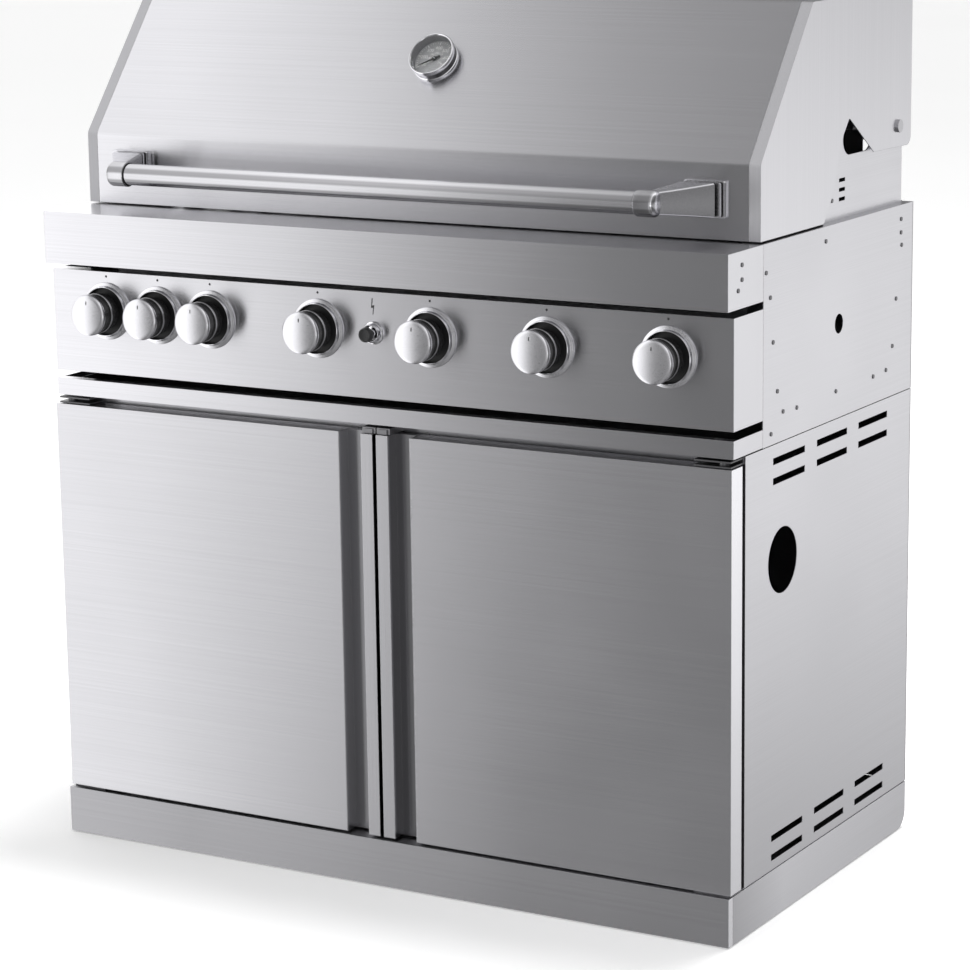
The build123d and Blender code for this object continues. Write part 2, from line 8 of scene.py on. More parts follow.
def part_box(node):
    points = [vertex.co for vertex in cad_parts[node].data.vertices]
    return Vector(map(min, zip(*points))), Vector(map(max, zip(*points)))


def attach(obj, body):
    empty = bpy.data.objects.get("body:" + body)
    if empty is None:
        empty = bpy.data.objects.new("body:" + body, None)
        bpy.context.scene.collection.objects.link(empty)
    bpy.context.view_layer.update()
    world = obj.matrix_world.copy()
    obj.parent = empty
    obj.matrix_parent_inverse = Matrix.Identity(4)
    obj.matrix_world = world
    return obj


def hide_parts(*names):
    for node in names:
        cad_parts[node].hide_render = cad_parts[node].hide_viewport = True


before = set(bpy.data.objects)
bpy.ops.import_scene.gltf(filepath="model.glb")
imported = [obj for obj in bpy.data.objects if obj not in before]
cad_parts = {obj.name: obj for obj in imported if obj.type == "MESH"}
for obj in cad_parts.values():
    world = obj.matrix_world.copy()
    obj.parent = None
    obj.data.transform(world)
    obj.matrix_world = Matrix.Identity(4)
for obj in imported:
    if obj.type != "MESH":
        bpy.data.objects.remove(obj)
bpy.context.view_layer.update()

# Metres. X to the right, Y to the back, Z up. Profiles and sections are in millimetres, which scaled() or MM
# turns into metres.
MM = 0.001
ROOT = "cabinet_and_head"
# The front faces of the fascia and of the control panel.
FASCIA_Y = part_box("fascia")[0].y
PANEL_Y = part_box("control_panel")[0].y
KNOB_Z = 0.785
KNOB_NUMBERS = range(1, 8)
KNOBS = [f"knob_{number}" for number in KNOB_NUMBERS]
KNOB_X = {name: (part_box(name)[0].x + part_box(name)[1].x) / 2 for name in KNOBS}
FRONT = Vector((0, -1, 0))
# The lid's slanted face: the directions up it and out of it, its lower edge and the thermometer's middle.
SLANT = Vector((0, 158, 197)).normalized()
SLANT_OUT = Vector((0, -SLANT.z, SLANT.y))
SLANT_FOOT = Vector((0, FASCIA_Y + 0.105, 1.028))
GAUGE = SLANT_FOOT + SLANT * 0.141


# ---------------------------------------------------------------- materials

def ramp_node(tree, stops):
    """A ramp of grey values at the given positions."""
    made = tree.nodes.new("ShaderNodeValToRGB")
    elements = made.color_ramp.elements
    while len(elements) > 1:
        elements.remove(elements[-1])
    elements[0].position = stops[0][0]
    elements[0].color = (*([stops[0][1]] * 3), 1)
    for position, value in stops[1:]:
        element = elements.new(position)
        element.color = (value, value, value, 1)
    return made


class Shader:
    """A material under construction: adds nodes and joins them."""

    def __init__(self, name):
        self.material = bpy.data.materials.new(name)
        self.material.use_nodes = True
        self.tree = self.material.node_tree
        self.tree.nodes.clear()
        self.out = self.node("ShaderNodeOutputMaterial")
        self.bsdf = self.node("ShaderNodeBsdfPrincipled")
        self.join(self.bsdf, "BSDF", self.out, "Surface")
        self.coords = self.node("ShaderNodeTexCoord")

    def node(self, kind, **values):
        """A new node with the given settings."""
        made = self.tree.nodes.new(kind)
        for key, value in values.items():
            setattr(made, key, value)
        return made

    def join(self, source, output, target, socket):
        """Link one node's output to another node's input."""
        self.tree.links.new(source.outputs[output], target.inputs[socket])

    def noise(self, scale, stretch=(1, 1, 1), detail=4.0, rough=0.55, seed=0.0):
        """Noise in the object's own coordinates, stretched along some axes."""
        mapping = self.node("ShaderNodeMapping")
        mapping.inputs["Scale"].default_value = stretch
        mapping.inputs["Location"].default_value = (seed, seed * 0.7, seed * 1.3)
        self.join(self.coords, "Object", mapping, "Vector")
        made = self.node("ShaderNodeTexNoise")
        made.inputs["Scale"].default_value = scale
        made.inputs["Detail"].default_value = detail
        made.inputs["Roughness"].default_value = rough
        self.join(mapping, "Vector", made, "Vector")
        return made

    def tint(self, source, dark, light, low=0.3, high=0.7):
        """Base colour between two tones by a noise."""
        ramp = self.node("ShaderNodeValToRGB")
        ramp.color_ramp.elements[0].position = low
        ramp.color_ramp.elements[1].position = high
        ramp.color_ramp.elements[0].color = (*dark, 1)
        ramp.color_ramp.elements[1].color = (*light, 1)
        self.join(source, "Fac", ramp, "Fac")
        self.join(ramp, "Color", self.bsdf, "Base Color")

    def rough(self, source, low, high):
        """Roughness between two values by a noise."""
        span = self.node("ShaderNodeMapRange")
        span.inputs["From Min"].default_value = 0.3
        span.inputs["From Max"].default_value = 0.7
        span.inputs["To Min"].default_value = low
        span.inputs["To Max"].default_value = high
        self.join(source, "Fac", span, "Value")
        self.join(span, "Result", self.bsdf, "Roughness")

    def bump(self, source, strength, distance, edge=0.0):
        """Fine relief from a noise, with the sharp edges rounded by the given radius."""
        relief = self.node("ShaderNodeBump")
        relief.inputs["Strength"].default_value = strength
        relief.inputs["Distance"].default_value = distance
        self.join(source, "Fac", relief, "Height")
        if edge:
            bevel = self.node("ShaderNodeBevel", samples=4)
            bevel.inputs["Radius"].default_value = edge
            self.join(bevel, "Normal", relief, "Normal")
        self.join(relief, "Normal", self.bsdf, "Normal")

    def bands(self, axis, start, end, stops):
        """Scale the base colour by a value that varies along one of the object's axes: painted light and
        shade.
        """
        split = self.node("ShaderNodeSeparateXYZ")
        self.join(self.coords, "Object", split, "Vector")
        span = self.node("ShaderNodeMapRange")
        span.inputs["From Min"].default_value = start
        span.inputs["From Max"].default_value = end
        self.join(split, axis, span, "Value")
        ramp = ramp_node(self.tree, stops)
        self.join(span, "Result", ramp, "Fac")
        product = self.node("ShaderNodeMixRGB", blend_type="MULTIPLY")
        product.inputs["Fac"].default_value = 1
        colour = self.bsdf.inputs["Base Color"]
        self.tree.links.new(colour.links[0].from_socket, product.inputs[1])
        self.join(ramp, "Color", product, 2)
        self.tree.links.new(product.outputs["Color"], colour)

    def by_side(self, front, side):
        """Different brushing on faces that look to the front and on faces that look to the side."""
        split = self.node("ShaderNodeSeparateXYZ")
        self.join(self.coords, "Normal", split, "Vector")
        size = self.node("ShaderNodeMath", operation="ABSOLUTE")
        self.join(split, "X", size, 0)
        for socket, first, last in zip(("Roughness", "Anisotropic"), front, side):
            span = self.node("ShaderNodeMapRange")
            span.inputs["From Min"].default_value = 0.4
            span.inputs["From Max"].default_value = 0.6
            span.inputs["To Min"].default_value = first
            span.inputs["To Max"].default_value = last
            self.join(size, "Value", span, "Value")
            self.join(span, "Result", self.bsdf, socket)

    def across(self, direction):
        """The direction across the brushing, which turns with the piece."""
        turn = self.node("ShaderNodeVectorTransform", vector_type="VECTOR", convert_from="OBJECT",
                         convert_to="WORLD")
        turn.inputs["Vector"].default_value = direction
        self.join(turn, "Vector", self.bsdf, "Tangent")


# The slight blue tint of the steel.
COOL = (0.99, 0.985, 1.025)


def tones(tone, spread):
    """The darker and the lighter colour of a metal of the given tone."""
    return [[tone * factor * c for c in COOL] for factor in spread]


def brushed(name, tone, rough, grain, across, anisotropy=0.8, edge=0.0007, relief=0.06, bands=(),
            by_side=None):
    """Satin stainless sheet with fine parallel scratches. grain stretches the noise along the scratches."""
    made = Shader(name)
    scratches = made.noise(1.0, grain, detail=6.0, rough=0.7)
    smudge = made.noise(3.0, detail=2.0, seed=4.0)
    made.tint(scratches, *tones(tone, (0.95, 1.05)))
    for band in bands:
        made.bands(*band)
    made.rough(smudge, rough - 0.02, rough + 0.02)
    made.bump(scratches, relief, 0.0002, edge)
    made.across(across)
    made.bsdf.inputs["Metallic"].default_value = 1.0
    made.bsdf.inputs["Anisotropic"].default_value = anisotropy
    if by_side:
        made.by_side(*by_side)
    return made.material


def polished(name, tone, rough, edge=0.0004, bands=()):
    """Bright plated metal with faint polishing marks."""
    made = Shader(name)
    haze = made.noise(60.0, detail=3.0)
    made.tint(haze, *tones(tone, (0.96, 1.02)))
    for band in bands:
        made.bands(*band)
    made.rough(haze, rough * 0.7, rough * 1.3)
    made.bump(haze, 0.02, 0.0001, edge)
    made.bsdf.inputs["Metallic"].default_value = 1.0
    return made.material


def blasted(name, tone, rough):
    """Fine satin metal with no direction, as on a turned and blasted cap."""
    made = Shader(name)
    grains = made.noise(1800.0, detail=2.0)
    made.tint(grains, *tones(tone, (0.97, 1.03)))
    made.rough(grains, rough - 0.03, rough + 0.03)
    made.bump(grains, 0.08, 0.00005)
    made.bsdf.inputs["Metallic"].default_value = 1.0
    return made.material


def plastic(name, tone, rough, grain=900.0, relief=0.1):
    """Moulded plastic or enamel with a fine texture."""
    made = Shader(name)
    grains = made.noise(grain, detail=3.0)
    made.tint(grains, [c * 0.85 for c in tone], [min(1.0, c * 1.15) for c in tone])
    made.rough(grains, rough - 0.05, rough + 0.05)
    made.bump(grains, relief, 0.00005, 0.0004)
    return made.material


def glass(name):
    """Clear, slightly smudged lens."""
    made = Shader(name)
    smudge = made.noise(40.0, detail=2.0)
    made.tint(smudge, (0.97, 0.98, 0.98), (1, 1, 1))
    made.rough(smudge, 0.0, 0.03)
    made.bsdf.inputs["Transmission Weight"].default_value = 1.0
    made.bsdf.inputs["IOR"].default_value = 1.1
    return made.material


# Stretches of the scratches' noise, which leave it long along one axis.
ALONG_X = (1.2, 900, 900)
ALONG_Y = (900, 1.2, 900)
ALONG_Z = (900, 900, 1.2)

# Painted reflection on a round bar: light and dark bands from its underside to its top, and its painted
# fading towards the left.
BAR_REFLECTION_BANDS = [(0.0, 0.12), (0.07, 0.18), (0.12, 0.38), (0.30, 0.48), (0.38, 0.98), (0.56, 1.0), (0.64, 0.5),
             (0.80, 0.55), (0.88, 0.98), (1.0, 0.85)]
BAR_REFLECTION_FADE = [(0, 0.55), (0.3, 0.7), (0.6, 1), (1, 1)]
BAR_REFLECTION_SPAN = ("X", -0.43, 0.43, BAR_REFLECTION_FADE)
# The finger channel beside the middle of the doors lies deeper than the closed edge strip. The pulls' base
# colour darkens with depth across this span: painted shade in the recess.
CHANNEL_SHADE = (-0.2695, -0.2660)
# The width of the cabinet and the direction across brushing that runs along X on an upright front.
WIDTH = (-0.54, 0.54)
UPRIGHT = (0, 0.25, 1)

FRONT_STEEL = brushed("steel_front", 0.62, 0.25, ALONG_X, UPRIGHT)
# Painted light and shade: the doors' base colour grows lighter from left to right across the cabinet's width.
DOOR_STEEL_PAINTED_LIGHT = brushed("steel_door", 0.84, 0.25, ALONG_X, UPRIGHT, bands=(
    ("X", *WIDTH, [(0, 0.66), (0.3, 0.68), (0.6, 0.78), (1, 1)]),))
# Painted light and shade: the plinth front's base colour grows much lighter from left to right across the
# cabinet's width.
PLINTH_STEEL_PAINTED_LIGHT = brushed("steel_plinth", 0.88, 0.25, ALONG_X, UPRIGHT, bands=(
    ("X", *WIDTH, [(0, 0.38), (0.2, 0.4), (0.5, 0.6), (0.75, 0.85), (1, 1)]),))
# Painted light and shade: the plinth side's base colour is darker at its front, lightest a third of the way
# back and a little darker at the back.
PLINTH_SIDE_PAINTED_LIGHT = brushed("steel_plinth_side", 0.78, 0.30, ALONG_Y, (0, 0.02, 1), 0.3, bands=(
    ("Y", -0.28, 0.30, [(0, 0.7), (0.3, 1), (1, 0.85)]),))
# Painted shade: the pulls' base colour darkens deeper in the finger channel, the right one far more; the left
# one is also darker towards its left edge.
PULL_LEFT_PAINTED_SHADE = brushed("steel_pull_left", 0.62, 0.25, ALONG_Z, UPRIGHT, bands=(
    ("Y", *CHANNEL_SHADE, [(0, 1), (1, 0.75)]), ("X", -0.0575, -0.0215, [(0, 0.55), (0.9, 0.9), (1, 1)])))
PULL_RIGHT_PAINTED_SHADE = brushed("steel_pull_right", 0.62, 0.25, ALONG_Z, UPRIGHT, bands=(
    ("Y", *CHANNEL_SHADE, [(0, 1), (1, 0.35)]),))
SIDE_STEEL = brushed("steel_side", 0.62, 0.30, ALONG_Y, (0, 0.02, 1), 0.3)
CAP_STEEL = brushed("steel_cap", 0.62, 0.42, ALONG_Z, (1, 0.3, 0), 0.85,
                    by_side=((0.42, 0.85), (0.28, 0.1)))
INNER_STEEL = brushed("steel_inner", 0.45, 0.42, ALONG_X, (0, 0.3, 1), 0.5)
# Painted reflection: the handle's tube takes the bar's bands by height and its fading towards the left.
TUBE_STEEL_PAINTED_REFLECTION = brushed("steel_tube", 0.97, 0.16, ALONG_X, (0, 0.6, 1), 0.3, 0.0003, 0.04,
                     bands=(("Z", 0.9665, 0.9965, BAR_REFLECTION_BANDS), BAR_REFLECTION_SPAN))
ROD_STEEL = brushed("steel_rod", 0.5, 0.35, ALONG_X, (0, 1, 1), 0.3, 0.0003)
GRATE_STEEL = brushed("steel_grate", 0.42, 0.38, ALONG_Y, (1, 0, 0.2), 0.4)
DARK_STEEL = blasted("steel_dark", 0.16, 0.4)
SCREW = blasted("screw_steel", 0.22, 0.4)
BOLT = blasted("bolt_steel", 0.5, 0.3)
ARM = blasted("arm_steel", 0.76, 0.26)
CATCH = blasted("catch_steel", 0.3, 0.4)
CHROME = polished("chrome", 0.78, 0.06)
# Painted reflection: the sleeves take the same bands and fading as the tube.
SLEEVE_PAINTED_REFLECTION = polished("sleeve_chrome", 0.95, 0.12, bands=(("Z", 0.964, 0.999, BAR_REFLECTION_BANDS), BAR_REFLECTION_SPAN))
# Painted shade: the outer side of the thermometer's case darkens sharply towards its right.
CASE_SIDE_PAINTED_SHADE = polished("case_side", 0.78, 0.1, bands=(
    ("X", -0.034, 0.034, [(0, 1), (0.5, 0.8), (0.72, 0.12), (1, 0.1)]),))
SATIN = blasted("satin_cap", 0.8, 0.28)
BRASS = polished("brass", 0.5, 0.3)
PIPE = polished("pipe", 0.5, 0.3)
BLACK = plastic("black_plastic", (0.012, 0.012, 0.013), 0.3)
SKIRT = plastic("knob_skirt", (0.02, 0.02, 0.021), 0.25)
# Painted shade: near-black plastic put in the bores of the bezels and of the igniter housing, in the sleeves'
# seams and in the arms' grooves, where there is only shade.
PAINTED_SHADE_PLASTIC = plastic("painted_shade_groove", (0.015, 0.015, 0.016), 0.5)
RUBBER = plastic("foot_black", (0.03, 0.03, 0.03), 0.6, 300.0, 0.3)
INK = plastic("print_ink", (0.035, 0.035, 0.037), 0.5)
CUP = plastic("dial_cup", (0.22, 0.22, 0.23), 0.4)
DIAL = plastic("dial_grey", (0.40, 0.40, 0.41), 0.45, 400.0, 0.05)
DIAL_MARK = plastic("dial_mark", (0.85, 0.85, 0.84), 0.5)
NEEDLE = plastic("needle_paint", (0.02, 0.02, 0.02), 0.4)
LENS = glass("lens")

LOOKS = {
    "plinth_front": PLINTH_STEEL_PAINTED_LIGHT, "plinth_frame": PLINTH_SIDE_PAINTED_LIGHT, "levelling_feet": RUBBER,
    "cabinet_floor": INNER_STEEL, "cabinet_side_left": SIDE_STEEL, "cabinet_side_right": SIDE_STEEL,
    "cabinet_back": INNER_STEEL, "cabinet_top_rail": FRONT_STEEL, "hinge_brackets": DARK_STEEL,
    "door_catches": CATCH, "head_side_left": SIDE_STEEL, "head_side_right": SIDE_STEEL,
    "head_back": INNER_STEEL, "fascia": FRONT_STEEL, "control_panel": FRONT_STEEL, "firebox": INNER_STEEL,
    "gas_manifold": PIPE, "valve_bodies": BRASS, "burners": ROD_STEEL, "rear_burner": INNER_STEEL,
    "flame_tamers": GRATE_STEEL, "cooking_grates": GRATE_STEEL, "warming_rack": ROD_STEEL,
    "uprights": SIDE_STEEL, "hood_rear_panel": INNER_STEEL, "side_screws": SCREW,
    "door_left_panel": DOOR_STEEL_PAINTED_LIGHT, "door_left_pull": PULL_LEFT_PAINTED_SHADE, "door_left_liner": INNER_STEEL,
    "door_right_panel": DOOR_STEEL_PAINTED_LIGHT, "door_right_pull": PULL_RIGHT_PAINTED_SHADE, "door_right_liner": INNER_STEEL,
    "lid_skin": FRONT_STEEL, "lid_end_left": CAP_STEEL, "lid_end_right": CAP_STEEL,
    "lid_liner": INNER_STEEL, "handle_tube": TUBE_STEEL_PAINTED_REFLECTION, "handle_brackets": CHROME,
    "thermometer_case": CHROME, "pivot_bolts": BOLT, "thermometer_needle": NEEDLE,
    "drip_tray": INNER_STEEL, "drip_tray_front": FRONT_STEEL, "igniter_button": BLACK,
    "igniter_housing": CHROME, "knob_bezels": CHROME,
}
LOOKS.update({f"valve_plug_{number}": BRASS for number in KNOB_NUMBERS})
for node, look in LOOKS.items():
    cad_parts[node].data.materials.clear()
    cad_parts[node].data.materials.append(look)


# ---------------------------------------------------------------- mesh helpers

# Steps around a turned piece, and around a large or prominent one.
STEPS, FINE_STEPS = 64, 96


def piece(name, body, verts, faces, looks, face_looks=None, crease=30):
    """A mesh object that rides on a body, smooth except at its sharp edges."""
    mesh = bpy.data.meshes.new(name)
    mesh.from_pydata([tuple(v) for v in verts], [], faces)
    for look in looks:
        mesh.materials.append(look)
    if face_looks:
        for polygon, index in zip(mesh.polygons, face_looks):
            polygon.material_index = index
    shape = bmesh.new()
    shape.from_mesh(mesh)
    bmesh.ops.remove_doubles(shape, verts=shape.verts, dist=1e-7)
    bmesh.ops.recalc_face_normals(shape, faces=shape.faces)
    shape.to_mesh(mesh)
    shape.free()
    mesh.shade_smooth()
    mesh.set_sharp_from_angle(angle=math.radians(crease))
    made = bpy.data.objects.new(name, mesh)
    bpy.context.scene.collection.objects.link(made)
    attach(made, body)
    return made


def turned(profile, origin, axis, steps=STEPS):
    """Vertices, faces and looks of a turned shape. profile holds (radius, height, look) points."""
    axis = axis.normalized()
    side = axis.orthogonal().normalized()
    other = axis.cross(side)
    verts, faces, looks = [], [], []
    for radius, height, _ in profile:
        for step in range(steps):
            angle = 2 * math.pi * step / steps
            verts.append(origin + axis * height + (side * math.cos(angle) + other * math.sin(angle)) * radius)
    for ring in range(len(profile) - 1):
        for step in range(steps):
            ahead = (step + 1) % steps
            low, high = ring * steps, (ring + 1) * steps
            faces.append((low + step, low + ahead, high + ahead, high + step))
            looks.append(profile[ring + 1][2])
    return verts, faces, looks


def join(parts):
    """Several (verts, faces, looks) as one."""
    verts, faces, looks = [], [], []
    for some_verts, some_faces, some_looks in parts:
        base = len(verts)
        verts += some_verts
        faces += [tuple(base + index for index in face) for face in some_faces]
        looks += some_looks
    return verts, faces, looks


def scaled(profile):
    """A profile in millimetres, in metres."""
    return [(radius * MM, height * MM, look) for radius, height, look in profile]


def lathe(name, body, profile, origin, axis, looks):
    """A piece turned from a profile in millimetres."""
    verts, faces, face_looks = turned(scaled(profile), origin, axis)
    return piece(name, body, verts, faces, looks, face_looks)


# ---------------------------------------------------------------- knobs

def dome(rim_radius, rim_height, rise, look, count=10):
    """Profile points of a shallow dome from its rim to the middle."""
    radius = (rim_radius ** 2 + rise ** 2) / (2 * rise)
    points = []
    for step in range(1, count + 1):
        at = rim_radius * (1 - step / count)
        points.append((at, rim_height + math.sqrt(radius ** 2 - at ** 2) - radius + rise, look))
    return points


# The stem in the valve plug, the dark skirt, its bright ring and the satin cap. The last number of a profile
# point picks the look of the band that ends there.
KNOB_LOOKS = [SKIRT, CHROME, SATIN, BOLT, INK]
KNOB_INK = 4
KNOB_PROFILE = [
    (0, -48.5, 1), (3.7, -48.5, 1), (4, -48.2, 1), (4, 8, 1), (25.6, 8, 0), (26.5, 8.9, 0), (26.5, 25, 0),
    (27.8, 24.6, 3), (28.4, 25.2, 3), (28.5, 27.5, 3), (28, 28, 3), (26.5, 28, 0), (26.2, 28.4, 0),
    (26.2, 36.4, 0), (26.8, 36.9, 0), (28.2, 37.1, 0), (28.9, 37.9, 0), (28.9, 43.4, 0), (29, 43.5, 2),
    (29, 45, 2), (28.8, 46.2, 2), (28.1, 47.3, 2), (26.9, 48.1, 2), (25.2, 48.6, 2),
] + dome(25.2, 48.6, 1.6, 2)


def knob_mark(centre, look):
    """The short engraved line near the top of a cap."""
    verts = []
    for up, height in ((15.5, 49.72), (18, 49.5), (20.5, 49.25)):
        for x in (-0.8, 0.8):
            verts.append(centre + Vector((x * MM, -height * MM, up * MM)))
    return verts, [(0, 1, 3, 2), (2, 3, 5, 4)], [look, look]


for name in KNOBS:
    centre = Vector((KNOB_X[name], PANEL_Y, KNOB_Z))
    verts, faces, looks = join([turned(scaled(KNOB_PROFILE), centre, FRONT, FINE_STEPS),
                                knob_mark(centre, KNOB_INK)])
    made = piece(f"{name}_turned", name, verts, faces, KNOB_LOOKS, looks)
    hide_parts(name)

BEZEL_PROFILE = [
    (0, 0, 1), (41, 0, 1), (41, 1.6, 2), (40.6, 2.6, 2), (39.8, 3, 2), (37.4, 3.1, 2), (36.4, 3.6, 2),
    (36, 4.6, 0), (36, 7.8, 0), (35.7, 8.6, 0), (34.9, 9, 0), (34.2, 8.8, 0), (33.8, 8.2, 0),
    (33.6, 7.2, 0), (33.5, 0.8, 1), (4.2, 0.7, 1),
]
bezels = [turned(scaled(BEZEL_PROFILE), Vector((x, PANEL_Y, KNOB_Z)), FRONT, FINE_STEPS)
          for x in KNOB_X.values()]
verts, faces, looks = join(bezels)
# The bezels' bores and the floors of their recesses take the painted shade.
made = piece("knob_bezels_turned", ROOT, verts, faces, [CHROME, PAINTED_SHADE_PLASTIC, ARM], looks)
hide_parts("knob_bezels")


# ---------------------------------------------------------------- igniter

IGNITER = Vector((0, PANEL_Y, KNOB_Z))
HOUSING_PROFILE = [
    (12.4, -37, 0), (12.5, -36.8, 0), (12.5, 0, 0), (15.75, 0, 0), (15.75, 1.6, 0), (15.2, 2.4, 0),
    (14.4, 2.6, 0), (13.4, 3, 0), (13.1, 4, 0), (13.1, 8.6, 0), (12.7, 9.7, 0), (12, 10, 0), (11.2, 9.7, 0),
    (10.7, 9, 0), (10.4, 7, 1), (10.35, -12, 1),
]
# The housing's bore takes the painted shade.
made = lathe("igniter_housing_turned", ROOT, HOUSING_PROFILE, IGNITER, FRONT, [CHROME, PAINTED_SHADE_PLASTIC])
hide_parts("igniter_housing")
BUTTON_PROFILE = [
    (0, -2.5, 0), (10, -2.5, 0), (10, 5, 0), (5.5, 5.5, 1), (5.5, 15.5, 1), (9.2, 15.8, 0), (9.9, 16.6, 0),
    (10, 17.5, 0), (10, 22.4, 0), (9.6, 23.7, 0), (8.4, 24.4, 0), (7.4, 24.4, 0), (6.8, 23.9, 0),
    (0, 23.5, 0),
]
made = lathe("igniter_button_turned", "igniter_button", BUTTON_PROFILE, IGNITER, FRONT, [BLACK, CHROME])
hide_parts("igniter_button")


# ---------------------------------------------------------------- printed marks on the control panel

MARK_LIFT = 0.00006
# The height and the radius of the dots above the knobs, in millimetres.
DOT_Z, DOT_R = 834.5, 1.75


def outline_mark(points, look):
    """A flat mark just in front of the control panel, from its outline in millimetres."""
    verts = [Vector((x * MM, PANEL_Y - MARK_LIFT, z * MM)) for x, z in points]
    return verts, [tuple(range(len(verts)))], [look]


def dot(x):
    """A round mark above the knob at x."""
    turns = [math.radians(degrees) for degrees in range(0, 360, 20)]
    outline = [(x / MM + DOT_R * math.cos(turn), DOT_Z + DOT_R * math.sin(turn)) for turn in turns]
    return outline_mark(outline, 0)


SPARK = [(-2.2, 832), (-0.6, 832.4), (-1.6, 822), (1.8, 823.4), (-0.2, 810), (-1.3, 810.2), (-0.4, 819.6),
         (-3.6, 818.4)]
verts, faces, looks = join([dot(x) for x in KNOB_X.values()] + [outline_mark(SPARK, 0)])
piece("panel_marks", ROOT, verts, faces, [INK], looks)


# ---------------------------------------------------------------- handle brackets

# The axis of the handle's tube, and where the sleeves on its ends begin.
HANDLE_Y = FASCIA_Y + 0.020
HANDLE_Z = 0.9815
SLEEVE_X = 0.402
SLEEVE_PROFILE = [
    (15.02, 1, 1), (15.4, -0.9, 1), (16.2, -0.9, 1), (16.4, 0.1, 1), (17, 0.2, 0), (17.5, 0.9, 0),
    (17.5, 23, 0), (17.1, 25.6, 0), (15.8, 27.8, 0), (13.6, 29.3, 0), (10, 30, 0), (0, 30, 0),
]


def rounded(centre_x, centre_z, half_width, half_height, depth, radius, count=5):
    """One cross-section of the arm: a rounded rectangle at a depth, in millimetres."""
    points = []
    for quarter, (side_x, side_z) in enumerate(((1, 1), (-1, 1), (-1, -1), (1, -1))):
        for step in range(count):
            angle = math.pi / 2 * (quarter + step / (count - 1))
            points.append(Vector((
                (centre_x + side_x * (half_width - radius) + radius * math.cos(angle)) * MM,
                FASCIA_Y + depth * MM,
                (centre_z + side_z * (half_height - radius) + radius * math.sin(angle)) * MM)))
    return points


def skinned(sections):
    """A closed body through several cross-sections, each with its points and the look that leads to it."""
    size = len(sections[0][0])
    verts = [point for points, _ in sections for point in points]
    faces, looks = [tuple(range(size))], [sections[0][1]]
    for index in range(1, len(sections)):
        low, high = (index - 1) * size, index * size
        for step in range(size):
            ahead = (step + 1) % size
            faces.append((low + step, low + ahead, high + ahead, high + step))
            looks.append(sections[index][1])
    faces.append(tuple(range(len(verts) - size, len(verts))))
    looks.append(sections[-1][1])
    return verts, faces, looks


WEDGE_STEPS = 8
# The arm's cross-sections from the wedge to the lid, in millimetres: the distance from the grill's middle,
# half the width, half the height, the depth behind the fascia's front face, and the look.
BASE_SECTIONS = [
    (453, 21, 18, 86.2, 1), (455, 21, 18, 91.5, 1), (456.5, 27, 22.6, 91.7, 2), (456.8, 27.2, 22.8, 95, 2),
    (457, 21, 17, 95.2, 1), (457.6, 21, 17, 98.4, 1), (458, 29.2, 23.8, 98.6, 2), (458, 30, 24.5, 100, 2),
    (458, 30, 24.5, 104.9, 2),
]


def arm(side):
    """The arm from the sleeve to the lid: a flaring wedge, a groove, a plate, another groove and the base."""
    sections = []
    for step in range(WEDGE_STEPS + 1):
        share = step / WEDGE_STEPS
        sections.append((rounded(side * (421 + 32 * share), 981.5 - 0.9 * share, 10.5 + 15.5 * share,
                                 15.2 + 7.4 * share ** 1.15, 24 + 62 * share, 3), 2))
    for centre, half_width, half_height, depth, look in BASE_SECTIONS:
        sections.append((rounded(side * centre, 980.5, half_width, half_height, depth, 3), look))
    return skinned(sections)


parts = []
for side in (-1, 1):
    origin = Vector((side * SLEEVE_X, HANDLE_Y, HANDLE_Z))
    parts.append(turned(scaled(SLEEVE_PROFILE), origin, Vector((side, 0, 0))))
    parts.append(arm(side))
verts, faces, looks = join(parts)
# The sleeves' seams and the arms' grooves take the painted shade.
made = piece("handle_brackets_formed", "lid", verts, faces, [SLEEVE_PAINTED_REFLECTION, PAINTED_SHADE_PLASTIC, ARM], looks)
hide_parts("handle_brackets")


# ---------------------------------------------------------------- thermometer

CASE_PROFILE = [
    (6, -20, 0), (6, 0, 0), (34, 0, 0), (34, 1.8, 0), (33.6, 2.7, 0), (32.6, 3.2, 0), (32, 4, 3),
    (32, 10.6, 3), (32.6, 11.6, 3), (33.6, 12.2, 0), (34, 13.2, 0), (34, 16.8, 0), (33.5, 18, 0),
    (32.6, 18.5, 0), (31.6, 18.3, 0), (30.9, 17.5, 0), (30.7, 16.8, 1), (30.5, 4, 1), (1, 4, 2),
    (1, 9.5, 1), (0, 9.5, 1),
]
PROBE_PROFILE = [(0, -75, 0), (2.4, -75, 0), (3, -74, 0), (3, -15, 0)]
case = turned(scaled(CASE_PROFILE), GAUGE, SLANT_OUT, FINE_STEPS)
probe = turned(scaled(PROBE_PROFILE), GAUGE, SLANT_OUT, 32)
verts, faces, looks = join([case, probe])
# The case's outer side takes the painted shade.
made = piece("thermometer_case_turned", "lid", verts, faces, [CHROME, CUP, DIAL, CASE_SIDE_PAINTED_SHADE], looks)
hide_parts("thermometer_case")


def on_dial(right, up, lift=4.1):
    """A point just above the dial, in millimetres to the right of and above its middle."""
    return GAUGE + Vector((1, 0, 0)) * right * MM + SLANT * up * MM + SLANT_OUT * lift * MM


def tick(angle, inner, outer, half_width):
    """A graduation line of the dial at an angle from the top."""
    sine, cosine = math.sin(angle), math.cos(angle)
    verts = [on_dial(radius * sine + offset * cosine, radius * cosine - offset * sine)
             for radius, offset in ((inner, -half_width), (inner, half_width), (outer, half_width),
                                    (outer, -half_width))]
    return verts, [(0, 1, 2, 3)], [0]


